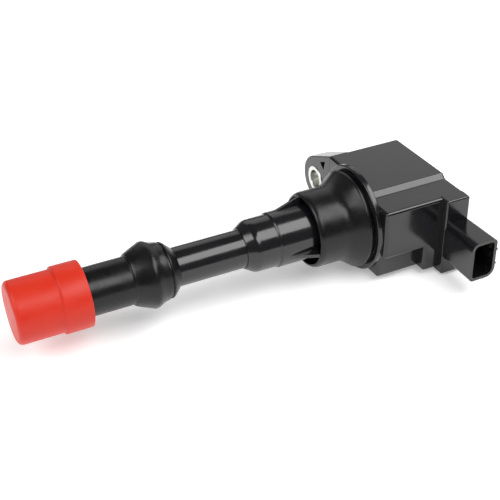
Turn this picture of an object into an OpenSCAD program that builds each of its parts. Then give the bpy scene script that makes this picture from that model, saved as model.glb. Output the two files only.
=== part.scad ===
// Plug-top ignition coil: a head with the windings, a long stem down to the spark plug,
// and the pull-off cap that protects the stem's tip until the coil is fitted.
//
// Frame: the origin is on the stem axis, in the middle of the well seal's sleeve. +X runs along
// the stem towards the head, -X towards the spark plug, -Y is where the connector points, and
// the mounting ear stands out towards +Y. Inside the modules X is counted from the head's
// seating face; place() moves each piece from there into the frame.

/* [Head] */
// Length of the head along the stem axis
head_len = 35.2; // [34.6:0.2:46]
// Reach of the head from the stem axis towards the ear
head_back = 25.2; // [25:0.2:31]
// Reach of the head from the stem axis towards the connector
head_front = 22.5; // [22:0.2:28]
// Height of the upper top face above the stem axis
head_top = 14.3; // [13.4:0.1:18]
// Depth of the head's underside below the stem axis
head_bottom = 18.6; // [17.6:0.2:24]
// Step from the upper to the lower top face
top_step = 1.7; // [0.8:0.1:2.6]
// Width of the sloping band between the two top faces
band_w = 1.9; // [1:0.1:4]
// Width of the lower top face
lower_top_w = 12.7; // [10:0.1:17]
// Wall of the case
case_wall = 1.8; // [1.5:0.1:2.2]
// Radius of the head's long edges
edge_r = 1.2; // [0.6:0.1:1.6]
// Set-back of the ear's face behind the seating face
ear_set_back = 2.6; // [1:0.1:4]
// Depth of the recess under the connector side
side_recess = 4.6; // [3:0.1:4.8]
// Height of the connector side above that recess
side_face_h = 20.3; // [17:0.1:24]
// Length of that recess along the stem axis
side_recess_len = 18.2; // [14:0.1:23]

/* [Mounting ear] */
// Bolt hole in the bush
bolt_hole_d = 7.6; // [6.4:0.1:8.6]
// Wall of the bush
bush_wall = 1.8; // [1:0.1:2.4]
// Distance of the bolt from the stem axis
bolt_y = 36.0; // [35:0.1:44]
// Height of the bolt axis above the stem axis
bolt_z = -1.6; // [-4:0.1:3]
// Plastic around the bush
ear_rim = 4.2; // [2.5:0.1:5]
// Thickness of the ear
ear_t = 9.0; // [7:0.5:12]

/* [Neck] */
// Radius of the neck under the seal
neck_r = 10.75; // [10.2:0.05:12.4]
// Radius of the collar that holds the stem tube
collar_r = 10.2; // [9.4:0.05:10.4]
// Distance from the seating face to the collar's end
neck_len = 50; // [48:0.5:60]
// Radius of the flange at the seating face
flange_r = 21.0; // [20.6:0.1:25]
// Thickness of the flange
flange_t = 2.0; // [1.6:0.1:3]
// Number of stiffening fins on the neck
fin_count = 3; // [2:1:6]

/* [Stem] */
// Outside diameter of the stem tube
tube_d = 14.8; // [13:0.1:16]
// Bore of the stem tube
tube_bore = 9.0; // [8:0.1:10]
// Distance from the seating face to the tip of the plug boot
stem_reach = 134.6; // [130:0.2:166]
// Outside diameter of the plug boot
boot_d = 18.0; // [17.2:0.1:20]
// Outside diameter of the boot's grip bead
bead_d = 25.5; // [22:0.1:30]
// Bore that grips the spark plug's insulator
plug_bore_d = 9.4; // [8.4:0.1:10.6]
// Depth of that bore
plug_bore_len = 22.5; // [20:0.5:28]
// Length of the plug boot
boot_len = 58.0; // [54:0.2:72]
// Travel of the plug contact against its spring
contact_travel = 4; // [2:0.5:5]

/* [Well seal] */
// Outside diameter of the seal's sleeve
seal_d = 29.9; // [28:0.1:33]
// Distance from the seating face to the seal's open end
seal_len = 22.9; // [20:0.1:28]
// Outside diameter of the seal's lip
lip_d = 38.6; // [37:0.2:42]
// Wall of the seal's open end
seal_wall = 1.5; // [1.2:0.1:2.5]

/* [Connector] */
// Width of the connector block along the stem axis
block_w = 10.4; // [9.8:0.1:12.6]
// Reach of the block beyond the head's side face
block_reach = 3.1; // [2:0.1:4]
// Drop of the block below the head's underside
block_drop = 1.6; // [1:0.1:3]
// Width of the plug-in shell
shell_w = 11.0; // [9:0.1:11.4]
// Height of the plug-in shell
shell_h = 16.0; // [13:0.1:18]
// Length of the plug-in shell
shell_len = 17.2; // [14:0.1:21]
// Wall of the plug-in shell
shell_wall = 1.2; // [1:0.1:1.5]
// Spacing of the three terminals
pin_pitch = 4.1; // [3.4:0.1:4.6]

/* [Protective cap] */
// Outside diameter of the cap
cap_d = 23.1; // [22:0.1:28]
// Outside diameter of the cap's wide band
cap_band_d = 24.7; // [23.6:0.1:30]
// Length of the cap
cap_len = 26.6; // [24:0.1:34.2]
// Length of the cap's wide band
cap_band_len = 9.7; // [8:0.1:14]
// Wall of the cap
cap_wall = 0.9; // [0.7:0.1:1.1]

/* [Windings] */
// Outside radius of the secondary winding's bobbin
coil_r = 10.3; // [9.4:0.1:10.4]
// Length of the bobbins
coil_len = 29.6; // [25:0.2:31]
// Side of the square centre core
core_a = 7.6; // [6.4:0.2:8]
// Thickness of the outer core's legs
core_leg = 3.6; // [3:0.1:4]
// Number of chambers in the secondary winding
chambers = 7; // [4:1:9]

/* [Hidden] */
$fn = 96;

slip = 0.1;          // gap between pieces that are only laid in place
pot_gap = 0.05;      // gap between the resin and what it surrounds
over = 1;            // how far a cut runs past the face it opens
seat_x = 16;         // the seating face in the frame

// Colours
black_pbt = [0.10, 0.10, 0.11];
black_rubber = [0.15, 0.15, 0.15];
steel = [0.80, 0.80, 0.78];
iron = [0.42, 0.43, 0.45];
copper = [0.72, 0.38, 0.20];
brass = [0.80, 0.66, 0.35];
resin = [0.16, 0.13, 0.11];
nylon = [0.88, 0.86, 0.78];
cap_red = [0.92, 0.25, 0.20];

// Head, derived
lower_top = head_top - top_step;
band_front = lower_top_w - head_front;             // front edge of the band, along Y
band_back = band_front + band_w;
recess_z = lower_top - side_face_h;                // underside of the connector side
recess_y = side_recess - head_front;               // the recess's wall, along Y
step_y = 12;                                       // where the ear's set-back begins
block_x = head_len - block_w;                      // where the connector block begins
block_front = -head_front - block_reach;
inner_front = case_wall - head_front;
resin_recess = 1;                                  // resin surface below the case's rim

// Ear, derived
bush_r = bolt_hole_d / 2 + bush_wall;
ear_r = bush_r + ear_rim;
bush_proud = 0.3;
ear_root_top = head_top - 0.4;                     // where the ear's top edge leaves the head
ear_root_bottom = -head_bottom + 5;

// Neck and stem, derived
tube_r = tube_d / 2;
bore_r = tube_bore / 2;
socket_depth = 10;
socket_x = -neck_len + socket_depth;               // bottom of the tube's socket
collar_cone = 3.8;
collar_step_x = -neck_len + 13;
boot_top_x = -stem_reach + boot_len;
bead_x = boot_top_x - 10;                          // the bead's ridge
tube_tip_x = bead_x - 1.9;
barb = 0.8;                                        // barb of the tube inside the boot
lip_x = -stem_reach + plug_bore_len;               // inner end of the insulator's bore
nose_len = contact_travel + 0.5;                    // the contact's nose, ahead of its flange
lip_t = nose_len + 0.4;
chamber_x = lip_x + lip_t;                         // the contact's flange rests here
flange_plate = 1.2;                                // thickness of the contact's flange
spring_x0 = chamber_x + flange_plate;
bore_end_x = -9;
cup_len = 7;
cup_x = bore_end_x - cup_len;                      // mouth of the terminal's cup
resistor_len = 25;
resistor_r = 3.4;
resistor_x1 = cup_x + cup_len - 2;                 // the resistor seats on the cup's floor
spring_x1 = resistor_x1 - resistor_len;
spring_wire_r = 0.4;
spring_coil_r = 2.75;
spring_turns = 18;
hv_pin_r = 1.1;
hv_pin_x = 4.6;

// Windings, derived: the winding axis runs along Y
coil_x = ear_set_back + case_wall + 1.1 + coil_r;
coil_z = -3;
coil_y0 = -12 + 0.3;
core_y0 = coil_y0 - 0.3;
magnet_t = 1.2;
core_y1 = core_y0 + coil_len + 0.6;
primary_in = core_a / 2 + 0.3;
primary_r = primary_in * sqrt(2) + 0.5;
primary_wind_r = primary_r + 1.5;
secondary_r = primary_wind_r + slip;
bobbin_wall = 0.7;
secondary_wind_r = coil_r - 0.7;
flange_w = 1;
rib_w = 0.7;
pitch_y = (coil_len - rib_w) / chambers;           // chamber to chamber

// Igniter and terminals, derived
igniter_t = 2.4;
spreader_t = 1.0;
igniter_x0 = block_x + 1.1;
igniter_w = block_w - 2.7;
igniter_h = 9;
igniter_z0 = 0.2;
shell_z = -5.1;
shell_x = block_x + 0.1 + shell_w / 2;
shell_tip_y = block_front - shell_len;
pin_depth = 6.5;
pin_inner_y = inner_front + 1.3;

// Cap, derived
cap_end_t = 1.3;
cap_gap = 1.5;                                     // room between the boot's tip and the cap's end
cap_x0 = -stem_reach - cap_gap - cap_end_t;
cap_x1 = cap_x0 + cap_len;
cap_r = cap_d / 2;
cap_band_r = cap_band_d / 2;
cap_fit = 0.3;                                     // room between the boot's end and the cap
boot_tip_r = min(cap_r, cap_band_r) - cap_wall - cap_fit;

// Points of one rounded corner: p is the corner, a and b its neighbours, r the radius.
function unit(v) = v / norm(v);
function corner(a, p, b, r, n = 6) =
    let (u = unit(a - p), v = unit(b - p), half = acos(u * v) / 2,
         c = p + unit(u + v) * r / sin(half),
         s = p + u * r / tan(half) - c, e = p + v * r / tan(half) - c,
         a0 = atan2(s.y, s.x), turn = atan2(s.x * e.y - s.y * e.x, s * e))
    r <= 0 ? [p] : [for (i = [0 : n]) c + r * [cos(a0 + turn * i / n), sin(a0 + turn * i / n)]];
// A closed outline with each corner [x, y, r] rounded to its own radius.
function rounded(pts) = let (n = len(pts), xy = [for (p = pts) [p[0], p[1]]])
    [for (i = [0 : n - 1]) each corner(xy[(i + n - 1) % n], xy[i], xy[(i + 1) % n], pts[i][2])];

// Moves a piece from the seating face into the frame.
module place() {
    translate([seat_x, 0, 0]) children();
}
// An outline drawn in Y and Z, extruded along X from x0 to x1.
module along_x(x0, x1) {
    translate([x0, 0, 0]) rotate([90, 0, 90]) linear_extrude(x1 - x0) children();
}
// A profile of [X, radius] points turned about the stem axis.
module turned(points) {
    rotate([0, 90, 0]) rotate_extrude() polygon([for (p = points) [p[1], p[0]]]);
}
// A cylinder along X, from x0 to x1.
module rod_x(r, x0, x1) {
    translate([x0, 0, 0]) rotate([0, 90, 0]) cylinder(r = r, h = x1 - x0);
}
// A cylinder along Y, from y0 to y1.
module rod_y(r, y0, y1) {
    translate([0, y0, 0]) rotate([-90, 0, 0]) cylinder(r = r, h = y1 - y0);
}
// A box given by two opposite corners.
module block(low, high) {
    translate(low) cube(high - low);
}
// A round wire through a list of points.
module wire(points, r) {
    for (i = [0 : len(points) - 2]) {
        d = points[i + 1] - points[i];
        translate(points[i])
            rotate([0, acos(d.z / norm(d)), atan2(d.y, d.x)])
                cylinder(r = r, h = norm(d), $fn = 24);
    }
    for (i = [1 : len(points) - 2])
        translate(points[i]) sphere(r = r, $fn = 24);
}

// Outline of the head in Y and Z, drawn inwards by a wall.
function head_outline(wall, r) = [
    [head_back - wall, head_top - wall, r],
    [head_back - wall, -head_bottom + wall, r + 1.4],
    [-head_front + wall, -head_bottom + wall, r],
    [-head_front + wall, lower_top - wall, r],
    [band_front, lower_top - wall, 0],
    [band_back, head_top - wall, 0],
];
// The recess under the connector side, grown by a wall.
module side_recess_cut(wall) {
    block([-over, -head_front - over, -head_bottom - over],
          [side_recess_len + wall, recess_y + wall, recess_z + wall]);
}
// What lies behind the ear's face, grown by a wall.
module set_back_cut(wall) {
    block([-over, step_y - wall, -head_bottom - over],
          [ear_set_back + wall, head_back + over, head_top + over]);
}
// The case's hollow, from its floor to x1.
module hollow(x1) {
    difference() {
        along_x(case_wall, x1) polygon(rounded(head_outline(case_wall, edge_r * 0.5)));
        side_recess_cut(case_wall);
        set_back_cut(case_wall);
    }
}
module head_shell() {
    difference() {
        along_x(0, head_len) polygon(rounded(head_outline(0, edge_r)));
        side_recess_cut(0);
        set_back_cut(0);
        hollow(head_len + over);
        block([block_x, block_front, -head_bottom - over],
              [head_len + over, inner_front, head_top + over]);
    }
}
module ear() {
    root = head_back - case_wall;
    along_x(ear_set_back, ear_set_back + ear_t) difference() {
        hull() {
            translate([bolt_y, bolt_z]) circle(r = ear_r);
            polygon([[root, ear_root_top], [root, ear_root_bottom], [head_back, ear_root_top]]);
        }
        square([2 * root, 4 * head_bottom], center = true);
    }
}
module ear_mark() {
    mark_depth = 1.5;
    translate([ear_set_back - over, bolt_y - 6.1, bolt_z + 9.4]) rotate([90, 0, 90])
        linear_extrude(mark_depth + over) polygon([[2.4, 0.3], [-1.7, 2.3], [-0.5, -2.1]]);
}
module neck_body() {
    turned([[case_wall, 0], [case_wall, flange_r - 4], [0, flange_r], [-flange_t, flange_r],
        [-flange_t, neck_r], [collar_step_x, neck_r], [collar_step_x - 0.6, collar_r],
        [-neck_len + collar_cone, collar_r], [-neck_len, tube_r + 0.4], [-neck_len, 0]]);
}
module fins() {
    fin_x0 = -seal_len - 11;
    fin_tip_r = seal_d / 2 - 0.9;
    for (i = [0 : fin_count - 1])
        rotate([75 + 360 / fin_count * i, 0, 0])
            translate([0, 0.8, 0]) rotate([90, 0, 0]) linear_extrude(1.6)
                polygon([[fin_x0, neck_r - 0.6], [fin_x0, neck_r], [-seal_len - 0.6, fin_tip_r],
                    [-seal_len, fin_tip_r], [-seal_len, neck_r - 0.6]]);
}
module neck_bores() {
    turned([[-neck_len - over, 0], [-neck_len - over, tube_r], [socket_x, tube_r],
        [socket_x, bore_r], [bore_end_x, bore_r], [bore_end_x, 0]]);
    rod_x(hv_pin_r, bore_end_x - over, case_wall + over);
}

// The moulded case: head, mounting ear, flange and neck in one piece.
module coil_case() {
    color(black_pbt) difference() {
        union() {
            head_shell();
            ear();
            neck_body();
            fins();
        }
        neck_bores();
        translate([0, bolt_y, bolt_z]) rod_x(bush_r, 0, head_len);
        ear_mark();
    }
}
module mounting_bush() {
    color(steel) translate([0, bolt_y, bolt_z]) difference() {
        rod_x(bush_r, ear_set_back - bush_proud, ear_set_back + ear_t);
        rod_x(bolt_hole_d / 2, 0, head_len);
    }
}

// Outline of the plug-in shell in X and Z, drawn inwards by a wall; two opposite corners are
// rounder, so that the plug goes in one way only.
function shell_outline(wall) = let (w = shell_w / 2 - wall, h = shell_h / 2 - wall)
    [[-w, h, 3.2 - wall], [w, h, 2 - wall / 2], [w, -h, 3.6 - wall], [-w, -h, 1.8 - wall / 2]];
module shell_prism(wall, y0, y1) {
    translate([shell_x, y1, shell_z]) rotate([90, 0, 0])
        linear_extrude(y1 - y0) polygon(rounded(shell_outline(wall)));
}
module shell_ribs() {
    rib = 0.9;
    for (z = [-3.1, 3.1])
        block([shell_x + shell_w / 2 - 0.2, shell_tip_y, shell_z + z - rib / 2],
              [shell_x + shell_w / 2 + rib, shell_tip_y + 7, shell_z + z + rib / 2]);
    block([shell_x - rib / 2 + 1, shell_tip_y, shell_z - shell_h / 2 - rib * 0.7],
          [shell_x + rib / 2 + 1, shell_tip_y + 7, shell_z - shell_h / 2 + 0.2]);
}
module connector_housing() {
    color(black_pbt) difference() {
        union() {
            block([block_x, block_front, -head_bottom], [head_len, inner_front, lower_top]);
            block([block_x, block_front, -head_bottom - block_drop],
                  [head_len, recess_y, -head_bottom]);
            shell_prism(0, shell_tip_y, block_front + 0.5);
            shell_ribs();
        }
        shell_prism(shell_wall, shell_tip_y - over, block_front - 0.8);
        for (i = [-1 : 1]) terminal_blade(i, 0);
    }
}
// One terminal blade; i is its place in the row.
module terminal_blade(i, gap) {
    w = 1.9 + gap;
    t = 0.8 + gap;
    z = shell_z + i * pin_pitch;
    block([shell_x - t / 2, shell_tip_y + pin_depth, z - w / 2],
          [shell_x + t / 2, pin_inner_y + gap, z + w / 2]);
}
module terminal_supply() { color(brass) terminal_blade(1, 0); }
module terminal_ground() { color(brass) terminal_blade(0, 0); }
module terminal_trigger() { color(brass) terminal_blade(-1, 0); }

// The igniter: a moulded power package and its three leads down to the terminals.
module igniter_module(gap = 0) {
    y = pin_inner_y + 0.5;
    color([0.08, 0.08, 0.09]) {
        block([igniter_x0 - gap, inner_front + slip - gap, igniter_z0 - gap],
              [igniter_x0 + igniter_w + gap, inner_front + slip + igniter_t + gap,
               igniter_z0 + igniter_h + gap]);
        for (i = [-1 : 1]) {
            x = shell_x + 2 - i;
            z = shell_z + i * pin_pitch;
            wire([[x, y, igniter_z0], [x, y, z], [shell_x, y, z], [shell_x, pin_inner_y, z]],
                 0.3 + gap);
        }
    }
}
module heat_spreader(gap = 0) {
    y = inner_front + slip + igniter_t;
    color([0.75, 0.76, 0.78]) block([igniter_x0 - 0.4 - gap, y, igniter_z0 - 1 - gap],
        [igniter_x0 + igniter_w + 0.4 + gap, y + spreader_t + gap, igniter_z0 + igniter_h + 0.3 + gap]);
}
// Two copper leads from the primary winding's end to the igniter's spreader.
module primary_leads(gap = 0) {
    y1 = inner_front + slip + igniter_t + spreader_t;
    x1 = igniter_x0 + 1.2;
    color(copper) for (z = [4, 6.4])
        wire([[coil_x + 5.5 - (z - 4), coil_y0, z], [coil_x + 5.5 - (z - 4), coil_y0 - 2.4, z],
              [x1, coil_y0 - 2.4, z], [x1, y1, z]], 0.35 + gap);
}

module centre_core(gap = 0) {
    a = core_a / 2 + gap;
    color(iron) block([coil_x - a, core_y0, coil_z - a], [coil_x + a, core_y1, coil_z + a]);
}
module core_magnet(gap = 0) {
    a = core_a / 2 + gap;
    color([0.3, 0.3, 0.32]) block([coil_x - a, core_y1, coil_z - a],
        [coil_x + a, core_y1 + magnet_t, coil_z + a]);
}
// The outer core closes the magnetic path round the windings, as a C beside them.
module outer_core(gap = 0) {
    back_x = coil_x + coil_r + 0.7;
    x0 = coil_x - core_a / 2 - gap;
    x1 = back_x + core_leg + gap;
    z0 = coil_z - core_a / 2 - gap;
    z1 = coil_z + core_a / 2 + gap;
    y0 = core_y0 - core_leg;
    y1 = core_y1 + magnet_t + core_leg;
    color(iron) {
        block([x0, y0 - gap, z0], [x1, core_y0, z1]);
        block([x0, core_y1 + magnet_t, z0], [x1, y1 + gap, z1]);
        block([back_x - gap, core_y0, z0], [x1, core_y1 + magnet_t, z1]);
    }
}
// A ring about the winding axis, from y0 to y1.
module coil_ring(r_in, r_out, y0, y1) {
    translate([coil_x, 0, coil_z]) difference() {
        rod_y(r_out, y0, y1);
        rod_y(r_in, y0 - over, y1 + over);
    }
}
module primary_bobbin() {
    y1 = coil_y0 + coil_len;
    color(nylon) difference() {
        translate([coil_x, 0, coil_z]) {
            rod_y(primary_r, coil_y0, y1);
            rod_y(primary_wind_r, coil_y0, coil_y0 + flange_w);
            rod_y(primary_wind_r, y1 - flange_w, y1);
        }
        block([coil_x - primary_in, coil_y0 - over, coil_z - primary_in],
              [coil_x + primary_in, y1 + over, coil_z + primary_in]);
    }
}
module primary_winding() {
    color(copper)
        coil_ring(primary_r, primary_wind_r, coil_y0 + flange_w, coil_y0 + coil_len - flange_w);
}
module secondary_bobbin() {
    color(nylon) {
        coil_ring(secondary_r, secondary_r + bobbin_wall, coil_y0, coil_y0 + coil_len);
        for (i = [0 : chambers])
            coil_ring(secondary_r + bobbin_wall / 2, coil_r,
                      coil_y0 + pitch_y * i, coil_y0 + pitch_y * i + rib_w);
    }
}
module secondary_winding() {
    color(copper) for (i = [0 : chambers - 1])
        coil_ring(secondary_r + bobbin_wall, secondary_wind_r,
                  coil_y0 + pitch_y * i + rib_w, coil_y0 + pitch_y * (i + 1));
}
// The diode in the high-voltage path, beside the terminal's pin.
module hv_diode(gap = 0) {
    x = (case_wall + hv_pin_x) / 2;
    color([0.1, 0.1, 0.12]) {
        translate([x, 0, 0]) rod_y(1.2 + gap, 3, 9);
        translate([x, 0, 0]) rod_y(0.35 + gap, hv_pin_r, 3);
        translate([x, 0, 0]) rod_y(0.35 + gap, 9, 10);
    }
}
// The resin fills the case's hollow round everything in it.
module potting_resin() {
    g = pot_gap;
    color(resin) difference() {
        hollow(head_len - resin_recess);
        translate([coil_x, 0, coil_z]) rod_y(coil_r + g, coil_y0 - g, coil_y0 + coil_len + g);
        centre_core(g);
        core_magnet(g);
        outer_core(g);
        igniter_module(g);
        heat_spreader(g);
        primary_leads(g);
        hv_diode(g);
        rod_x(hv_pin_r + g, 0, hv_pin_x + g);
        for (i = [-1 : 1]) terminal_blade(i, g);
    }
}

// The brass terminal: a pin through the case's floor and a cup for the resistor.
module hv_terminal() {
    color(brass) difference() {
        union() {
            rod_x(bore_r - 0.2, cup_x, bore_end_x);
            rod_x(hv_pin_r, bore_end_x - 0.5, hv_pin_x);
        }
        rod_x(resistor_r + slip, cup_x - over, resistor_x1);
    }
}
module suppression_resistor() {
    color([0.86, 0.84, 0.8]) {
        rod_x(resistor_r - 0.3, spring_x1 + 3, resistor_x1 - 3);
        rod_x(resistor_r, resistor_x1 - 3, resistor_x1);
        rod_x(resistor_r, spring_x1, spring_x1 + 3);
    }
}
// One ring of the spring's wire, at turn t.
function spring_ring(t, sides) =
    let (x = spring_x0 + spring_wire_r
             + (spring_x1 - spring_x0 - 2 * spring_wire_r) * t / spring_turns,
         a = 360 * t)
    [for (k = [0 : sides - 1]) let (b = 360 * k / sides, q = spring_coil_r + spring_wire_r * cos(b))
        [x + spring_wire_r * sin(b), q * cos(a), q * sin(a)]];
module contact_spring() {
    sides = 6;
    steps = 12 * spring_turns;
    points = [for (i = [0 : steps]) each spring_ring(i / 12, sides)];
    walls = [for (i = [0 : steps - 1], k = [0 : sides - 1])
        let (a = i * sides + k, b = i * sides + (k + 1) % sides)
        [a, a + sides, b + sides, b]];
    ends = [[for (k = [0 : sides - 1]) k], [for (k = [0 : sides - 1]) (steps + 1) * sides - 1 - k]];
    color(steel) polyhedron(points, concat(walls, ends));
}
// The sprung contact that meets the spark plug's terminal.
module plug_contact() {
    color(brass) {
        turned([[chamber_x - nose_len, 0], [chamber_x - nose_len, 2.2], [chamber_x - nose_len + 0.6, 2.8],
            [chamber_x, 2.8], [chamber_x, bore_r - 0.4], [spring_x0, bore_r - 0.4],
            [spring_x0, 1.9], [spring_x0 + 3.4, 1.9], [spring_x0 + 4, 1.3], [spring_x0 + 4, 0]]);
    }
}
module stem_tube() {
    color(black_pbt) difference() {
        turned([[socket_x, 0], [socket_x, tube_r], [tube_tip_x + 4, tube_r],
            [tube_tip_x + 4, tube_r + barb], [tube_tip_x + 1, tube_r], [tube_tip_x, tube_r],
            [tube_tip_x, 0]]);
        rod_x(bore_r, tube_tip_x - over, socket_x + over);
    }
}
module well_seal() {
    r = seal_d / 2;
    lip_r = lip_d / 2;
    color(black_rubber) turned([[-seal_len, r - seal_wall], [-seal_len, r - 0.9],
        [-seal_len + 0.6, r - 0.4], [-seal_len + 1.6, r], [-10.6, r], [-9.4, r + 0.8],
        [-7.8, r + 1.8], [-6.1, r + 3.3], [-4.6, lip_r - 0.5], [-4.2, lip_r], [-3.4, lip_r],
        [-3.2, lip_r - 1], [-flange_t, lip_r - 1.2], [-flange_t, neck_r],
        [-13, neck_r], [-13, r - seal_wall]]);
}
module plug_boot() {
    bead_r = bead_d / 2;
    r = boot_d / 2;
    rim_x = boot_top_x - 3;
    color(black_rubber) turned([[boot_top_x, tube_r], [boot_top_x, tube_r + 0.2],
        [rim_x, bead_r - 2.2], [rim_x - 0.8, bead_r - 2.0], [rim_x - 0.8, bead_r - 2.6],
        [rim_x - 1.6, bead_r - 2.6], [rim_x - 1.6, bead_r - 1.9], [bead_x + 3, bead_r - 1.4],
        [bead_x + 0.4, bead_r], [bead_x - 0.6, bead_r - 0.1], [bead_x - 5.6, r + 1.4],
        [bead_x - 7, r + 0.9], [bead_x - 7.4, r + 0.4], [bead_x - 7.6, r],
        [-stem_reach + 5, r], [-stem_reach + 3.4, boot_tip_r],
        [-stem_reach + 0.8, boot_tip_r], [-stem_reach, boot_tip_r - 1],
        [-stem_reach, plug_bore_d / 2], [lip_x, plug_bore_d / 2], [lip_x, 3.1],
        [chamber_x, 3.1], [chamber_x, bore_r], [tube_tip_x, bore_r], [tube_tip_x, tube_r],
        [tube_tip_x + 1, tube_r], [tube_tip_x + 4, tube_r + barb], [tube_tip_x + 4, tube_r]]);
}
// The pull-off cap: closed at its outer end, with a wider band at its mouth.
module protective_cap() {
    round_r = 2.0;
    color(cap_red) difference() {
        turned(concat([[cap_x0, 0]],
            [for (i = [0 : 6])
                [cap_x0 + round_r * (1 - cos(15 * i)), cap_r - round_r * (1 - sin(15 * i))]],
            [[cap_x1 - cap_band_len - 0.4, cap_r], [cap_x1 - cap_band_len, cap_band_r],
             [cap_x1 - 0.4, cap_band_r], [cap_x1, cap_band_r - 0.3], [cap_x1, 0]]));
        rod_x(cap_r - cap_wall, cap_x0 + cap_end_t, cap_x1 + over);
        rod_x(cap_band_r - cap_wall, cap_x1 - cap_band_len + 0.6, cap_x1 + over);
    }
}

place() coil_case();
place() mounting_bush();
place() connector_housing();
place() terminal_supply();
place() terminal_ground();
place() terminal_trigger();
place() igniter_module();
place() heat_spreader();
place() primary_leads();
place() centre_core();
place() core_magnet();
place() outer_core();
place() primary_bobbin();
place() primary_winding();
place() secondary_bobbin();
place() secondary_winding();
place() hv_diode();
place() potting_resin();
place() hv_terminal();
place() suppression_resistor();
place() contact_spring();
place() plug_contact();
place() stem_tube();
place() well_seal();
place() plug_boot();
place() protective_cap();
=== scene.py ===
# Plug-top ignition coil: the shown pieces, materials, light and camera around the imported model.
# Lengths in the dictionaries are millimetres; X counts from the head's seating face.
import math

import bmesh
import bpy
from mathutils import Matrix, Vector


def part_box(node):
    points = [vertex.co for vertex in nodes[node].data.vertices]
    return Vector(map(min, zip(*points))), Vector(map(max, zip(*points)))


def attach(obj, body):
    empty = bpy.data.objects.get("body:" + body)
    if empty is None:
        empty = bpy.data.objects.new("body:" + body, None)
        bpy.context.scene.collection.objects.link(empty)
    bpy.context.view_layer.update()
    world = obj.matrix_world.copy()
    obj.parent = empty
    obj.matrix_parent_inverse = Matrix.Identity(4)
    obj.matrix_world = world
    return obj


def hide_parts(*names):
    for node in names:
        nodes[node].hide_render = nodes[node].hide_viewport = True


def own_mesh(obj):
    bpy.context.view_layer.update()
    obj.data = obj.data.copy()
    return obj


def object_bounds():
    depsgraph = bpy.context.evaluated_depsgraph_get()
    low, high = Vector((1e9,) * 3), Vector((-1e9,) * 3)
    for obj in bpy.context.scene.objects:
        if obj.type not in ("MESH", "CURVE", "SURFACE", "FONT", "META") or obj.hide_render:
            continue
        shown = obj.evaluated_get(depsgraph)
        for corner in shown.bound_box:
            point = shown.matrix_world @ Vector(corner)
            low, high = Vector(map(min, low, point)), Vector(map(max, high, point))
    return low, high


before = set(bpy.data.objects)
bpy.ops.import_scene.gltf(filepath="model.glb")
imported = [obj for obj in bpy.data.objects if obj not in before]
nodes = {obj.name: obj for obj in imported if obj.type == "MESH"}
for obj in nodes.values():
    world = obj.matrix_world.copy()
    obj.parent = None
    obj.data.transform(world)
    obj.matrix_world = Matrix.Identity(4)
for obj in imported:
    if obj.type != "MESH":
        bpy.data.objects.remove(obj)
cadBounds = [list(corner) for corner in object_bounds()]
mm = 0.001
smoothAngle = 32            # edges that turn by more, in degrees, are drawn sharp
print("frame loaded:", len(nodes), "nodes")

# Looks down at about 33 degrees from the connector side, a little towards the cap's end.
camera = {"lens": 72, "sensor": 36, "clip": (0.01, 10), "place": (-164.22, -285.20, 204.51),
          "right": (0.89813, -0.43921, -0.02132), "up": (0.25663, 0.48417, 0.83649)}
camData = bpy.data.cameras.new("camera")
camData.lens, camData.sensor_width = camera["lens"], camera["sensor"]
camData.clip_start, camData.clip_end = camera["clip"]
camObject = bpy.data.objects.new("camera", camData)
bpy.context.scene.collection.objects.link(camObject)
right, up = Vector(camera["right"]).normalized(), Vector(camera["up"])
up = (up - right * up.dot(right)).normalized()
turn = Matrix((right, up, right.cross(up))).transposed()
camObject.matrix_world = Matrix.Translation(Vector(camera["place"]) * mm) @ turn.to_4x4()
bpy.context.scene.camera = camObject


def toObject(bm, name):
    bmesh.ops.remove_doubles(bm, verts=bm.verts, dist=0.002)
    bmesh.ops.recalc_face_normals(bm, faces=bm.faces)
    mesh = bpy.data.meshes.new(name)
    bm.to_mesh(mesh)
    bm.free()
    piece = bpy.data.objects.new(name, mesh)
    bpy.context.scene.collection.objects.link(piece)
    shadeByAngle(piece)
    return piece


def shadeByAngle(piece):
    piece.data.polygons.foreach_set("use_smooth", [True] * len(piece.data.polygons))
    piece.data.set_sharp_from_angle(angle=math.radians(smoothAngle))


# The outline's corners are rounded first, then it is turned about a line along X.
def lathe(name, profile, steps=128, centre=(0, 0), closed=True, roundSteps=4):
    bm = bmesh.new()
    verts = [bm.verts.new((row[0] + seatX, centre[0], row[1] + centre[1])) for row in profile]
    count = len(verts)
    for i in range(count if closed else count - 1):
        bm.edges.new((verts[i], verts[(i + 1) % count]))
    for size in sorted({row[2] for row in profile if row[2]}):
        corners = [v for v, row in zip(verts, profile) if row[2] == size]
        bmesh.ops.bevel(bm, geom=corners, offset=size, affect="VERTICES", segments=roundSteps,
                        profile=0.5, material=-1)
    bmesh.ops.spin(bm, geom=bm.verts[:] + bm.edges[:], cent=(0, centre[0], centre[1]),
                   axis=(1, 0, 0), dvec=(0, 0, 0), angle=2 * math.pi, steps=steps,
                   use_merge=True, use_duplicate=False)
    return toObject(bm, name)


# A flat outline pushed from low to high; along is "X" (outline in Y, Z) or "Y" (outline in X, Z).
def prism(name, outline, along, low, high):
    bm = bmesh.new()
    if along == "X":
        points = [(low + seatX, a, b) for a, b in outline]
        push = (high - low, 0, 0)
    else:
        points = [(a + seatX, low, b) for a, b in outline]
        push = (0, high - low, 0)
    face = bm.faces.new([bm.verts.new(p) for p in points])
    moved = bmesh.ops.extrude_face_region(bm, geom=[face])["geom"]
    bmesh.ops.translate(bm, vec=push, verts=[g for g in moved if isinstance(g, bmesh.types.BMVert)])
    return toObject(bm, name)


def box(name, low, high):
    outline = [(low[1], low[2]), (high[1], low[2]), (high[1], high[2]), (low[1], high[2])]
    return prism(name, outline, "X", low[0], high[0])


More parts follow.
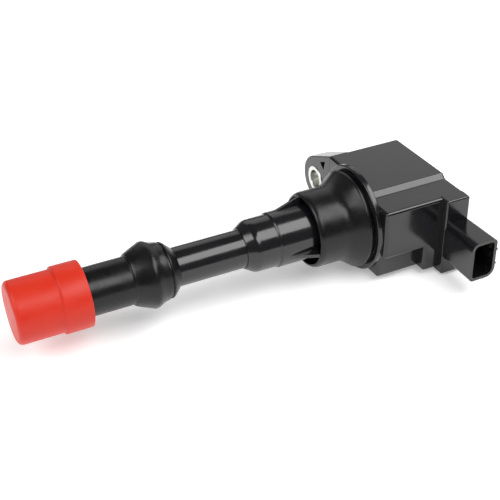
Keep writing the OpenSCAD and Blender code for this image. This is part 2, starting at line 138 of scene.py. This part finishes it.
def bakeModifiers(piece):
    bpy.context.view_layer.update()
    done = bpy.data.meshes.new_from_object(
        piece.evaluated_get(bpy.context.evaluated_depsgraph_get()))
    piece.modifiers.clear()
    piece.data = done
    return piece


def combine(piece, other, operation):
    step = piece.modifiers.new("combine", "BOOLEAN")
    step.operation, step.solver, step.object = operation, "EXACT", other
    bakeModifiers(piece)
    bpy.data.objects.remove(other)
    return piece


# Rounds the outward edges that turn by more than angle, where their middle passes the test.
def roundEdges(piece, radius, segments=4, angle=40, where=None):
    bm = bmesh.new()
    bm.from_mesh(piece.data)
    bmesh.ops.remove_doubles(bm, verts=bm.verts, dist=0.005)
    bmesh.ops.dissolve_limit(bm, angle_limit=math.radians(0.5), verts=bm.verts, edges=bm.edges)
    chosen = [e for e in bm.edges if len(e.link_faces) == 2
              and e.calc_face_angle_signed() > math.radians(angle)
              and (where is None or where((e.verts[0].co + e.verts[1].co) / 2))]
    bmesh.ops.bevel(bm, geom=chosen, offset=radius, segments=segments, affect="EDGES", profile=0.5,
                    material=-1, clamp_overlap=True, miter_outer="ARC")
    bm.to_mesh(piece.data)
    bm.free()
    return piece


# Last step of a piece: millimetres to metres, flat faces kept flat, body and what it replaces.
def finishPiece(piece, body, slot, material, *replaced, flat=False):
    piece.data.transform(Matrix.Scale(mm, 4))
    shadeByAngle(piece)
    if flat:
        weight = piece.modifiers.new("flatFaces", "WEIGHTED_NORMAL")
        weight.keep_sharp, weight.weight = True, 100
    piece.data.materials.clear()
    piece.data.materials.append(material)
    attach(piece, body)
    if replaced:
        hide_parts(*replaced)
    return piece


def toLinear(hexColour):
    parts = [int(hexColour[i:i + 2], 16) / 255 for i in (1, 3, 5)]
    return [c / 12.92 if c <= 0.04045 else ((c + 0.055) / 1.055) ** 2.4 for c in parts] + [1.0]


def addNode(tree, kind, settings=None, inputs=None, links=None):
    node = tree.nodes.new(kind)
    for key, value in (settings or {}).items():
        setattr(node, key, value)
    for key, value in (inputs or {}).items():
        node.inputs[key].default_value = value
    for key, (source, output) in (links or {}).items():
        tree.links.new(source.outputs[output], node.inputs[key])
    return node


def newMaterial(name, sockets):
    material = bpy.data.materials.new(name)
    material.use_nodes = True
    tree = material.node_tree
    shader = tree.nodes["Principled BSDF"]
    for key, value in sockets.items():
        shader.inputs[key].default_value = value
    return material, tree, shader


# Colour that wanders between two hex values, roughness that wanders with it, and two grains of bump.
# patch, coarse and fine are real sizes in mm; a noise of scale 1 has a bump about every metre.
def weatheredMaterial(name, sockets, dark, light, patch, roughness, coarse, fine, coarseBump, fineBump):
    material, tree, shader = newMaterial(name, sockets)
    place = addNode(tree, "ShaderNodeTexCoord")
    patches = addNode(tree, "ShaderNodeTexNoise", None,
                      {"Scale": 1 / (patch * mm), "Detail": 4, "Roughness": 0.6},
                      {"Vector": (place, "Object")})
    colours = addNode(tree, "ShaderNodeMix", {"data_type": "RGBA"},
                      None, {"Factor": (patches, "Fac")})
    colours.inputs["A"].default_value = toLinear(dark)
    colours.inputs["B"].default_value = toLinear(light)
    tree.links.new(colours.outputs["Result"], shader.inputs["Base Color"])
    gloss = addNode(tree, "ShaderNodeMapRange", None,
                    {"From Min": 0.3, "From Max": 0.7, "To Min": roughness[0], "To Max": roughness[1]},
                    {"Value": (patches, "Fac")})
    tree.links.new(gloss.outputs["Result"], shader.inputs["Roughness"])
    big = addNode(tree, "ShaderNodeTexNoise", None, {"Scale": 1 / (coarse * mm), "Detail": 2},
                  {"Vector": (place, "Object")})
    small = addNode(tree, "ShaderNodeTexNoise", None, {"Scale": 1 / (fine * mm), "Detail": 3},
                    {"Vector": (place, "Object")})
    bigBump = addNode(tree, "ShaderNodeBump", None, {"Strength": coarseBump, "Distance": 0.05 * mm},
                      {"Height": (big, "Fac")})
    smallBump = addNode(tree, "ShaderNodeBump", None, {"Strength": fineBump, "Distance": 0.02 * mm},
                        {"Height": (small, "Fac"), "Normal": (bigBump, "Normal")})
    tree.links.new(smallBump.outputs["Normal"], shader.inputs["Normal"])
    return material


# Glass-filled PBT, moulded and glossy: near black, with slow flow marks and a fine fibre grain.
pbtBlack = weatheredMaterial("glassFilledPbt", {"IOR": 1.56, "Specular IOR Level": 0.5},
                             "#0f0f11", "#171719", 9, (0.11, 0.2), 6, 0.5, 0.2, 0.08)
# Silicone rubber, moulded: satin black, soft wide highlights, faint bloom in patches.
rubberBlack = weatheredMaterial("siliconeRubber", {"IOR": 1.43, "Specular IOR Level": 0.42},
                                "#0a0a0b", "#131315", 7, (0.22, 0.36), 4, 0.6, 0.22, 0.1)
# Zinc-plated steel, turned: pale and bright, the plating breaks the mirror up.
zincSteel = weatheredMaterial("zincPlatedSteel", {"Metallic": 1.0}, "#c9cac6", "#e6e6e1",
                              2.5, (0.22, 0.38), 1.2, 0.25, 0.3, 0.25)
# Tinned brass, stamped: pale yellow metal with a soft shine.
tinnedBrass = weatheredMaterial("tinnedBrass", {"Metallic": 1.0}, "#b9a773", "#d9cba0",
                                2, (0.25, 0.4), 1, 0.3, 0.2, 0.2)
# Low-density polyethylene cap: waxy, red all through, light goes a few mm into it.
capRed = weatheredMaterial("redPolyethylene", {
    "IOR": 1.51, "Specular IOR Level": 0.3, "Subsurface Weight": 0.25,
    "Subsurface Radius": (1.0, 0.25, 0.15), "Subsurface Scale": 0.002},
    "#c32714", "#cd321d", 8, (0.36, 0.5), 5, 0.6, 0.25, 0.15)
# Potting epoxy, cast: dark brown-black and mirror smooth with a few dimples.
pottingEpoxy = weatheredMaterial("pottingEpoxy", {"IOR": 1.55}, "#15110f", "#231b16",
                                 6, (0.08, 0.2), 5, 0.8, 0.4, 0.1)
# Enamelled copper wire, wound: orange-brown metal under a clear coat.
enamelledCopper = weatheredMaterial("enamelledCopper", {"Metallic": 1.0}, "#9a4a22", "#c8743c",
                                    3, (0.25, 0.4), 2, 0.3, 0.2, 0.3)
# Silicon steel, stamped sheet: grey, half matt from the stamping oil, edges a little darker.
siliconSteel = weatheredMaterial("siliconSteel", {"Metallic": 1.0}, "#55575b", "#75777c",
                                 3, (0.35, 0.5), 2, 0.5, 0.2, 0.4)
# Hard ferrite, sintered and ground: dull charcoal with a fine grain.
hardFerrite = weatheredMaterial("hardFerrite", {}, "#2a2a2d", "#3a3a3d",
                                2, (0.5, 0.65), 1, 0.3, 0.3, 0.4)
# Natural nylon, moulded: warm off-white, silky rather than glossy.
naturalNylon = weatheredMaterial("naturalNylon", {"IOR": 1.53}, "#d8d1ba", "#e8e2ce",
                                 6, (0.35, 0.5), 4, 0.5, 0.2, 0.15)
# Glazed ceramic: cream, with a wet-looking glaze.
glazedCeramic = weatheredMaterial("glazedCeramic", {"IOR": 1.6}, "#d9d4c8", "#ece8de",
                                  4, (0.15, 0.3), 3, 0.5, 0.2, 0.1)
# Epoxy moulding compound of a power package: matt black, slightly sandy.
mouldingCompound = weatheredMaterial("mouldingCompound", {"IOR": 1.55}, "#171718", "#222224",
                                     3, (0.45, 0.6), 2, 0.3, 0.3, 0.4)
# Rolled aluminium sheet: pale, satin.
rolledAluminium = weatheredMaterial("rolledAluminium", {"Metallic": 1.0}, "#b9babd", "#cfd0d2",
                                    3, (0.3, 0.45), 2, 0.4, 0.2, 0.3)
# Spring steel wire, drawn: bright grey, fairly smooth.
springSteel = weatheredMaterial("springSteel", {"Metallic": 1.0}, "#9a9a98", "#b9b9b6",
                                2, (0.2, 0.35), 1, 0.3, 0.2, 0.2)
print("materials made")

# Moulded case: head, mounting ear, flange and neck in one piece. The top is in two levels, the one
# at the front lower by topStep, with a sloping band between them that starts bandFrom from the front.
head = {"length": 35.2, "back": 25.2, "front": 22.5, "top": 14.3, "bottom": 18.6, "topStep": 1.7,
        "bandWidth": 1.9, "bandFrom": 12.7, "wall": 1.8, "edge": 1.6, "bandEdge": 0.25, "blockWidth": 10.4,
        "stepAt": 12, "setBack": 2.6, "recess": 4.6, "recessHeight": 20.3, "recessLength": 18.2}
# The mark is a shallow three-cornered recess; the root is where the ear runs into the head.
ear = {"boltY": 36.0, "boltZ": -1.6, "endRadius": 9.8, "thickness": 9, "bushRadius": 5.6,
       "bore": 3.8, "proud": 0.3, "edge": 0.5, "markDepth": 1.5,
       "mark": [(32.3, 8.1), (28.2, 10.1), (29.4, 5.7)],
       "root": [(24.2, 13.9), (25.2, 13.9), (24.2, -13.6)]}
neck = {"radius": 10.75, "collar": 10.2, "length": 50, "flange": 21.0, "flangeThickness": 2.0,
        "step": -37, "tube": 7.4, "tubeSeat": 10, "bore": 4.5, "boreEnd": -9, "pin": 1.1,
        "floor": 1.4, "floorEdge": 4, "taper": 3.8}
fins = {"count": 3, "firstAngle": -15, "thickness": 1.6, "edge": 0.25,
        "outline": [(-34.2, 10.2), (-34.2, 10.75), (-23.6, 14.0), (-23, 14.0), (-23, 10.2)]}
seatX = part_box("coil_case")[1].x / mm - head["length"]       # the seating face in the frame
blockX = head["length"] - head["blockWidth"]
blockBack = head["wall"] - head["front"]
recessY = head["recess"] - head["front"]
lowerTop = head["top"] - head["topStep"]
past = 2                                                     # how far a cutter runs past a face


def headOutline(wall):
    bandFront = head["bandFrom"] - head["front"]
    return [(head["back"] - wall, head["top"] - wall), (head["back"] - wall, wall - head["bottom"]),
            (wall - head["front"], wall - head["bottom"]), (wall - head["front"], lowerTop - wall),
            (bandFront, lowerTop - wall), (bandFront + head["bandWidth"], head["top"] - wall)]


def sideRecess(wall):
    return box("cutter", (-past, -head["front"] - past, -head["bottom"] - past),
               (head["recessLength"] + wall, recessY + wall, lowerTop - head["recessHeight"] + wall))


def setBack(wall):
    return box("cutter", (-past, head["stepAt"] - wall, -head["bottom"] - past),
               (head["setBack"] + wall, head["back"] + past, head["top"] + past))


def earSolid():
    bm = bmesh.new()
    ends = (ear["thickness"] + head["setBack"], head["setBack"])
    for x in ends:
        bmesh.ops.create_circle(bm, segments=72, radius=ear["endRadius"], matrix=Matrix.Translation(
            (x + seatX, ear["boltY"], ear["boltZ"])) @ Matrix.Rotation(math.pi / 2, 4, "Y"))
        for y, z in ear["root"]:
            bm.verts.new((x + seatX, y, z))
    made = bmesh.ops.convex_hull(bm, input=bm.verts)
    unused = made["geom_interior"] + made["geom_unused"]
    bmesh.ops.delete(bm, geom=[g for g in unused if isinstance(g, bmesh.types.BMVert)], context="VERTS")
    bmesh.ops.dissolve_limit(bm, angle_limit=math.radians(0.5), verts=bm.verts, edges=bm.edges)
    return toObject(bm, "earSolid")


def neckSolid():
    n = neck
    return lathe("neckSolid", [
        (n["floor"], n["pin"], 0), (n["floor"], n["flange"] - n["floorEdge"], 0.3), (0.1, n["flange"], 0.3),
        (-n["flangeThickness"], n["flange"], 0.6), (-n["flangeThickness"], n["radius"], 0.5),
        (n["step"], n["radius"], 0.25), (n["step"] - 0.6, n["collar"], 0.25),
        (n["taper"] - n["length"], n["collar"], 1.2), (-n["length"], n["tube"] + 0.4, 0.25),
        (-n["length"], n["tube"], 0), (n["tubeSeat"] - n["length"], n["tube"], 0),
        (n["tubeSeat"] - n["length"], n["bore"], 0), (n["boreEnd"], n["bore"], 0),
        (n["boreEnd"], n["pin"], 0)], steps=144)


def finSolid(index):
    fin = prism("fin", fins["outline"], "Y", -fins["thickness"] / 2, fins["thickness"] / 2)
    roundEdges(fin, fins["edge"], 2)
    turned = math.radians(fins["firstAngle"] + 360 / fins["count"] * index)
    fin.data.transform(Matrix.Rotation(turned, 4, "X"))
    return fin


case = prism("mouldedCase", headOutline(0), "X", 0, head["length"])
combine(case, sideRecess(0), "DIFFERENCE")
combine(case, setBack(0), "DIFFERENCE")
roundEdges(case, head["edge"], angle=60)
roundEdges(case, head["bandEdge"], 2, angle=35)      # the sloping band stays crisper
combine(case, roundEdges(earSolid(), ear["edge"], 3, angle=60), "UNION")
hollow = prism("hollow", headOutline(head["wall"]), "X", head["wall"], head["length"] + past)
combine(hollow, sideRecess(head["wall"]), "DIFFERENCE")
combine(hollow, setBack(head["wall"]), "DIFFERENCE")
combine(case, hollow, "DIFFERENCE")
blockRoom = box("cutter", (blockX, -head["front"] - past, -head["bottom"] - past),
                (head["length"] + past, blockBack, head["top"] + past))
combine(case, blockRoom, "DIFFERENCE")
print("head hollowed:", len(case.data.polygons), "faces")
combine(case, neckSolid(), "UNION")
for index in range(fins["count"]):
    combine(case, finSolid(index), "UNION")


# A round cutter along X.
def drill(radius, low, high, **options):
    return lathe("cutter", [(low, 0, 0), (low, radius, 0), (high, radius, 0), (high, 0, 0)],
                 closed=False, **options)


combine(case, drill(ear["bushRadius"], -5, 20, centre=(ear["boltY"], ear["boltZ"])), "DIFFERENCE")
combine(case, drill(neck["pin"], -8, 6, steps=32), "DIFFERENCE")
mark = prism("cutter", ear["mark"], "X", head["setBack"] - 1, head["setBack"] + ear["markDepth"])
combine(case, mark, "DIFFERENCE")
finishPiece(case, "coil", "black_case", pbtBlack, "coil_case", flat=True)
print("case made:", len(case.data.polygons), "faces")

bushLow, bushHigh = head["setBack"] - ear["proud"], head["setBack"] + ear["thickness"]
bush = lathe("mountingBush", [
    (bushLow, ear["bore"], 0.35), (bushLow, ear["bushRadius"], 0.25),
    (bushHigh, ear["bushRadius"], 0.25), (bushHigh, ear["bore"], 0.35)],
    centre=(ear["boltY"], ear["boltZ"]), steps=96)
finishPiece(bush, "coil", "bush_steel", zincSteel, "mounting_bush")

# Connector block with its plug-in shell; the shell gets a little wider towards its mouth.
connector = {"reach": 3.1, "drop": 1.6, "shellWidth": 11.0, "shellHeight": 16.0,
             "shellLength": 17.2, "wall": 1.2, "shellZ": -5.1, "flare": 1.035, "edge": 1.0,
             "sink": 0.5, "floor": 0.8, "corners": (3.2, 2, 3.6, 1.8)}
rib = {"spread": 3.1, "width": 0.9, "low": 0.1, "high": 7, "sink": 0.4, "sideHeight": 0.9,
       "underHeight": 0.7, "underAt": 1.0, "edge": 0.25}
blade = {"pitch": 4.1, "width": 1.9, "thickness": 0.8, "depth": 6.5, "point": 0.3, "slotStart": 6,
         "slotEnd": -15, "inside": 1.3}
blockFront = -head["front"] - connector["reach"]
shellX = blockX + 0.1 + connector["shellWidth"] / 2
shellTip = blockFront - connector["shellLength"]


def shellOutline(wall):
    w, h = connector["shellWidth"] / 2 - wall, connector["shellHeight"] / 2 - wall
    a, b, c, d = connector["corners"]                   # the bore's tight corners lose half a wall
    return [(-w, h, a - wall), (w, h, b - wall / 2), (w, -h, c - wall), (-w, -h, d - wall / 2)]


def shellPrism(name, wall, low, high, flare):
    bm = bmesh.new()
    corners = shellOutline(wall)
    verts = [bm.verts.new((x + shellX + seatX, high, z + connector["shellZ"])) for x, z, _ in corners]
    for i in range(4):
        bm.edges.new((verts[i], verts[(i + 1) % 4]))
    for vert, row in zip(verts, corners):
        bmesh.ops.bevel(bm, geom=[vert], offset=row[2], affect="VERTICES", segments=8, profile=0.5,
                        material=-1)
    face = bmesh.ops.contextual_create(bm, geom=bm.edges[:])["faces"]
    moved = bmesh.ops.extrude_face_region(bm, geom=face)["geom"]
    ring = [g for g in moved if isinstance(g, bmesh.types.BMVert)]
    bmesh.ops.translate(bm, vec=(0, low - high, 0), verts=ring)
    centre = Matrix.Translation((-shellX - seatX, 0, -connector["shellZ"]))
    bmesh.ops.scale(bm, vec=(flare, 1, flare), verts=ring, space=centre)
    return toObject(bm, name)


blockLow = -head["bottom"] - connector["drop"]
housing = prism("connectorHousing", [
    (blockFront, lowerTop), (blockBack, lowerTop), (blockBack, -head["bottom"]),
    (recessY, -head["bottom"]), (recessY, blockLow),
    (blockFront, blockLow)], "X", blockX, head["length"])
roundEdges(housing, connector["edge"], where=lambda p: abs(p.y - blockBack) > 0.01)
combine(housing, shellPrism("shell", 0, shellTip, blockFront + connector["sink"], connector["flare"]),
        "UNION")


def addRib(lowX, highX, lowZ, highZ):
    solid = box("rib", (lowX, shellTip + rib["low"], lowZ), (highX, shellTip + rib["high"], highZ))
    combine(housing, roundEdges(solid, rib["edge"], 2), "UNION")


ribX = shellX + connector["shellWidth"] / 2
for z in (-rib["spread"], rib["spread"]):
    ribZ = connector["shellZ"] + z
    addRib(ribX - rib["sink"], ribX + rib["sideHeight"], ribZ - rib["width"] / 2, ribZ + rib["width"] / 2)
ribX, ribZ = shellX + rib["underAt"], connector["shellZ"] - connector["shellHeight"] / 2
addRib(ribX - rib["width"] / 2, ribX + rib["width"] / 2, ribZ - rib["underHeight"], ribZ + rib["sink"])
combine(housing, shellPrism("bore", connector["wall"], shellTip - 1, blockFront - connector["floor"],
                            connector["flare"]), "DIFFERENCE")


# Row is -1, 0 or 1: a blade's place above or below the middle one.
def bladeBox(name, row, lowY, highY):
    z = connector["shellZ"] + row * blade["pitch"]
    halfX, halfZ = blade["thickness"] / 2, blade["width"] / 2
    return box(name, (shellX - halfX, lowY, z - halfZ), (shellX + halfX, highY, z + halfZ))


for row in (-1, 0, 1):
    combine(housing, bladeBox("slot", row, shellTip + blade["slotStart"], blade["slotEnd"]), "DIFFERENCE")
finishPiece(housing, "coil", "black_case", pbtBlack, "connector_housing", flat=True)

for row, node in ((1, "terminal_supply"), (0, "terminal_ground"), (-1, "terminal_trigger")):
    tipY = shellTip + blade["depth"]
    terminal = bladeBox(node.split("_")[1] + "Blade", row, tipY, blockBack + blade["inside"])
    bm = bmesh.new()
    bm.from_mesh(terminal.data)
    tip = [e for e in bm.edges if all(abs(v.co.y - tipY) < 0.01 for v in e.verts)]
    bmesh.ops.bevel(bm, geom=tip, offset=blade["point"], affect="EDGES", segments=2, profile=0.5,
                    material=-1)
    bm.to_mesh(terminal.data)
    bm.free()
    finishPiece(terminal, "coil", "tinned_brass", tinnedBrass, node, flat=True)
print("connector made")

# Everything turned about the stem axis is an outline of X, radius and corner radius.
seal = {"low": -22.9, "high": -2.0, "inner": 13.45, "outer": 14.95, "web": -13, "lipRadius": 19.3,
        "shoulder": 18.1}
q = seal
wellSeal = lathe("wellSeal", [
    (q["low"], q["inner"], 0.3), (q["low"], q["inner"] + 0.6, 0.3), (q["low"] + 0.6, q["outer"] - 0.4, 0.3),
    (q["low"] + 1.6, q["outer"], 0.5), (-10.6, q["outer"], 1.5), (-7.8, 16.7, 2), (-5.2, 18.7, 0.6),
    (q["high"] - 2.5, q["lipRadius"], 0.3), (q["high"] - 1.5, q["lipRadius"], 0.35),
    (q["high"] - 1.2, q["shoulder"] + 0.2, 0.3), (q["high"], q["shoulder"], 0.1),
    (q["high"], neck["radius"], 0), (q["web"], neck["radius"], 0), (q["web"], q["inner"], 1)], steps=160)
finishPiece(wellSeal, "coil", "black_rubber", rubberBlack, "well_seal")

tube = {"tip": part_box("stem_tube")[0].x / mm - seatX, "high": -40, "barbLow": 1, "barbHigh": 4,
        "barb": 0.8}
t, tubeR, boreR = tube, neck["tube"], neck["bore"]
barb = [(t["tip"] + t["barbLow"], tubeR, 0), (t["tip"] + t["barbHigh"], tubeR + t["barb"], 0),
        (t["tip"] + t["barbHigh"], tubeR, 0)]
stemTube = lathe("stemTube", [(t["tip"], boreR, 0), (t["tip"], tubeR, 0)] + barb + [
    (t["high"], tubeR, 0), (t["high"], boreR, 0)])
finishPiece(stemTube, "coil", "black_case", pbtBlack, "stem_tube")

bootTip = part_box("plug_boot")[0].x / mm - seatX
boot = {"top": bootTip + 58.0, "bead": bootTip + 48.0, "beadR": 12.75, "r": 9.0, "bore": 4.7,
        "lip": bootTip + 22.5, "chamber": bootTip + 27.4, "chamberR": 3.1, "tipR": 10.35}
b = boot
rim = b["top"] - 3
plugBoot = lathe("plugBoot", [
    (b["top"], tubeR, 0), (b["top"], tubeR + 0.25, 0.1), (rim, b["beadR"] - 2.2, 0.5),
    (rim - 0.8, b["beadR"] - 2.0, 0.25), (rim - 0.8, b["beadR"] - 2.6, 0.15),
    (rim - 1.6, b["beadR"] - 2.6, 0.15), (rim - 1.6, b["beadR"] - 1.9, 0.25),
    (b["bead"] + 3, b["beadR"] - 1.4, 1), (b["bead"], b["beadR"] + 0.05, 0.9),
    (b["bead"] - 5.6, b["r"] + 1.5, 1.4), (b["bead"] - 7.3, b["r"] + 0.7, 0.5),
    (b["bead"] - 7.7, b["r"], 0.3), (bootTip + 5, b["r"], 0.8),
    (bootTip + 3.4, b["tipR"], 0.3), (bootTip + 0.8, b["tipR"], 0.3),
    (bootTip, b["tipR"] - 1, 0.3), (bootTip, b["bore"], 0.3), (b["lip"], b["bore"], 0.2),
    (b["lip"], b["chamberR"], 0), (b["chamber"], b["chamberR"], 0), (b["chamber"], boreR, 0),
    (t["tip"], boreR, 0), (t["tip"], tubeR, 0)] + barb, steps=144)
finishPiece(plugBoot, "coil", "black_rubber", rubberBlack, "plug_boot")
print("seal, stem and boot made")

# Pull-off cap, a thin cup with a wider band at its mouth.
capLow, capHigh = (corner.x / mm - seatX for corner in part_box("protective_cap"))
capSize = {"r": 11.55, "bandR": 12.35, "wall": 0.9, "end": 1.3, "band": 9.7}
c = capSize
cap = lathe("pullOffCap", [
    (capLow, 0, 0), (capLow, c["r"], 1.9), (capHigh - c["band"] - 0.5, c["r"], 0.3),
    (capHigh - c["band"], c["bandR"], 0.3), (capHigh, c["bandR"], 0.35),
    (capHigh, c["bandR"] - c["wall"], 0.2), (capHigh - c["band"] + 0.6, c["bandR"] - c["wall"], 0.3),
    (capHigh - c["band"] + 0.6, c["r"] - c["wall"], 0.2), (capLow + c["end"], c["r"] - c["wall"], 1.4),
    (capLow + c["end"], 0, 0)], steps=144, closed=False, roundSteps=6)
finishPiece(cap, "cap", "red_cap", capRed, "protective_cap")

# The spring is one round wire swept along a helix.
spring = {"low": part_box("contact_spring")[0].x / mm, "high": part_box("contact_spring")[1].x / mm,
          "coil": 2.75, "wire": 0.4, "turns": 18, "stepsPerTurn": 28, "travel": 4}


def makeSpring():
    bm = bmesh.new()
    size = spring
    start = size["low"] + size["wire"]
    length = size["high"] - size["low"] - 2 * size["wire"]
    made = bmesh.ops.create_circle(bm, segments=10, radius=size["wire"], matrix=Matrix.Translation(
        (start, 0, size["coil"])) @ Matrix.Rotation(math.pi / 2, 4, "X"))
    edges = list({e for v in made["verts"] for e in v.link_edges})
    bmesh.ops.spin(bm, geom=made["verts"] + edges, cent=(0, 0, 0), axis=(1, 0, 0),
                   dvec=(length / (size["turns"] * size["stepsPerTurn"]), 0, 0),
                   angle=2 * math.pi * size["turns"], steps=size["turns"] * size["stepsPerTurn"])
    bmesh.ops.holes_fill(bm, edges=bm.edges, sides=12)
    return toObject(bm, "contactSpring")


springPiece = makeSpring()
finishPiece(springPiece, "coil", "spring_steel", springSteel, "contact_spring")
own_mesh(springPiece)

contact = {"low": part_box("plug_contact")[0].x / mm - seatX, "tipR": 2.2, "noseR": 2.8, "nose": 4.5,
           "lipR": 4.1, "lip": 5.7, "pegR": 1.9, "pegEdge": 0.6, "peg": 9.7}
low = contact["low"]
plugContact = lathe("plugContact", [
    (low, 0, 0), (low, contact["tipR"], 0.2), (low + 0.6, contact["noseR"], 0.3),
    (low + contact["nose"], contact["noseR"], 0), (low + contact["nose"], contact["lipR"], 0.2),
    (low + contact["lip"], contact["lipR"], 0.2), (low + contact["lip"], contact["pegR"], 0),
    (low + contact["peg"] - contact["pegEdge"], contact["pegR"], 0.2),
    (low + contact["peg"], contact["pegR"] - contact["pegEdge"], 0.2), (low + contact["peg"], 0, 0)],
    closed=False, steps=64)
finishPiece(plugContact, "contact", "tinned_brass", tinnedBrass, "plug_contact")
print("cap, spring and contact made")

# Pieces inside the head and stem keep the shape they have and get their own material.
keptNodes = {"igniter_module": mouldingCompound, "heat_spreader": rolledAluminium,
             "primary_leads": enamelledCopper, "centre_core": siliconSteel, "core_magnet": hardFerrite,
             "outer_core": siliconSteel, "primary_bobbin": naturalNylon, "primary_winding": enamelledCopper,
             "secondary_bobbin": naturalNylon, "secondary_winding": enamelledCopper,
             "hv_diode": mouldingCompound, "potting_resin": pottingEpoxy, "hv_terminal": tinnedBrass,
             "suppression_resistor": glazedCeramic}
for name, material in keptNodes.items():
    nodes[name].data.materials.clear()
    nodes[name].data.materials.append(material)

# A lit white table, just wide enough to fill the view.
studio = {"tableRadius": 430, "dimRoom": 0.12, "paleRoom": 1.0, "litTable": 0.32}
bm = bmesh.new()
bmesh.ops.create_circle(bm, cap_ends=True, segments=96, radius=studio["tableRadius"])
floor = toObject(bm, "studioFloor")
floor.data.transform(Matrix.Translation((0, 0, cadBounds[0][2] / mm - 0.05)))
floor.data.transform(Matrix.Scale(mm, 4))
paper = newMaterial("whitePaper", {
    "Base Color": toLinear("#f4f4f4"), "Roughness": 0.9,
    "Emission Color": toLinear("#ffffff"), "Emission Strength": studio["litTable"]})[0]
floor.data.materials.append(paper)

# The camera sees a pale room; what lights and reflects is dimmer, so that black stays black.
world = bpy.data.worlds.new("studio")
bpy.context.scene.world = world
world.use_nodes = True
room = world.node_tree
seen = addNode(room, "ShaderNodeLightPath")
strength = addNode(room, "ShaderNodeMapRange", None,
                   {"To Min": studio["dimRoom"], "To Max": studio["paleRoom"]},
                   {"Value": (seen, "Is Camera Ray")})
room.links.new(strength.outputs["Result"], room.nodes["Background"].inputs["Strength"])
room.nodes["Background"].inputs["Color"].default_value = (1, 1, 1, 1)

# Soft boxes; glow is the brightness of the box itself.
lamps = {"overFront": {"place": (230, -290, 560), "aim": (0, 0, 0), "size": (950, 380), "glow": 5.2},
         "behind": {"place": (330, 640, 430), "aim": (0, 0, 0), "size": (1100, 520), "glow": 0.75},
         "leftFill": {"place": (-700, -60, 520), "aim": (-60, 0, 0), "size": (520, 520), "glow": 5.0}}
for name, row in lamps.items():
    data = bpy.data.lights.new(name, "AREA")
    data.shape, data.size, data.size_y = "RECTANGLE", row["size"][0] * mm, row["size"][1] * mm
    data.energy = row["glow"] * math.pi * data.size * data.size_y
    lamp = bpy.data.objects.new(name, data)
    bpy.context.scene.collection.objects.link(lamp)
    away = (Vector(row["place"]) - Vector(row["aim"])).normalized()
    side = Vector((0, 0, 1)).cross(away).normalized()
    lamp.matrix_world = Matrix.Translation(Vector(row["place"]) * mm) @ Matrix(
        (side, away.cross(side), away)).transposed().to_4x4()
bpy.context.scene.view_settings.view_transform = "Standard"
print("studio made")
